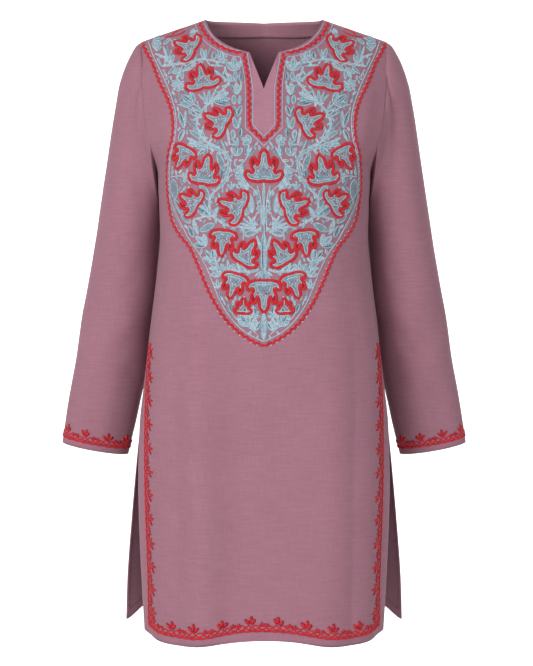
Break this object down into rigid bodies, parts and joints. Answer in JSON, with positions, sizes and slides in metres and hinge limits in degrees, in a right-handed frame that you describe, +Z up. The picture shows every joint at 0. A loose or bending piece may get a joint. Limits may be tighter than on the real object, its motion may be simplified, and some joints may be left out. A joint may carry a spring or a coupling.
{
  "type": "kurta tunic",
  "caption": "Knee-length woven tunic with long sleeves, a round notched neck, side slits and a raised embroidered yoke, hem and cuffs, shaped as if worn but empty.",
  "frame": {"origin": "midway between the two neck points of the shoulder seams, where the wearer's shoulders carry the garment", "axes": "+Z up along the garment, -Y out of its front, +X towards the wearer's left"},
  "size_m": [0.635, 0.2789, 0.9325],
  "materials": {
    "mauve_cloth": "matt, slightly slubby plain weave",
    "mauve_facing": "matt, the same weave seen from its inside",
    "red_thread": "satin chain-stitched thread",
    "blue_thread": "satin chain-stitched thread"
  },
  "bodies": {
    "root": {"back_panel": "mauve_cloth", "cuff_border_left": "red_thread", "cuff_border_right": "red_thread", "front_panel": "mauve_cloth", "hem_border": "red_thread", "neck_edge_cord": "red_thread", "neck_facing": "mauve_facing", "sleeve_left": "mauve_cloth", "sleeve_right": "mauve_cloth", "yoke_edge_cord": "red_thread", "yoke_leaf_01": "blue_thread", "yoke_leaf_02": "blue_thread", "yoke_leaf_03": "blue_thread", "yoke_leaf_04": "blue_thread", "yoke_leaf_05": "blue_thread", "yoke_leaf_06": "blue_thread", "yoke_leaf_07": "blue_thread", "yoke_leaf_08": "blue_thread", "yoke_leaf_09": "blue_thread", "yoke_leaf_10": "blue_thread", "yoke_leaf_11": "blue_thread", "yoke_leaf_12": "blue_thread", "yoke_leaf_13": "blue_thread", "yoke_leaf_14": "blue_thread", "yoke_leaf_15": "blue_thread", "yoke_leaf_16": "blue_thread", "yoke_leaf_17": "blue_thread", "yoke_leaf_18": "blue_thread", "yoke_leaf_19": "blue_thread", "yoke_leaf_20": "blue_thread", "yoke_leaf_21": "blue_thread", "yoke_leaf_22": "blue_thread", "yoke_leaf_23": "blue_thread", "yoke_leaf_24": "blue_thread"}
  },
  "joints": []
}
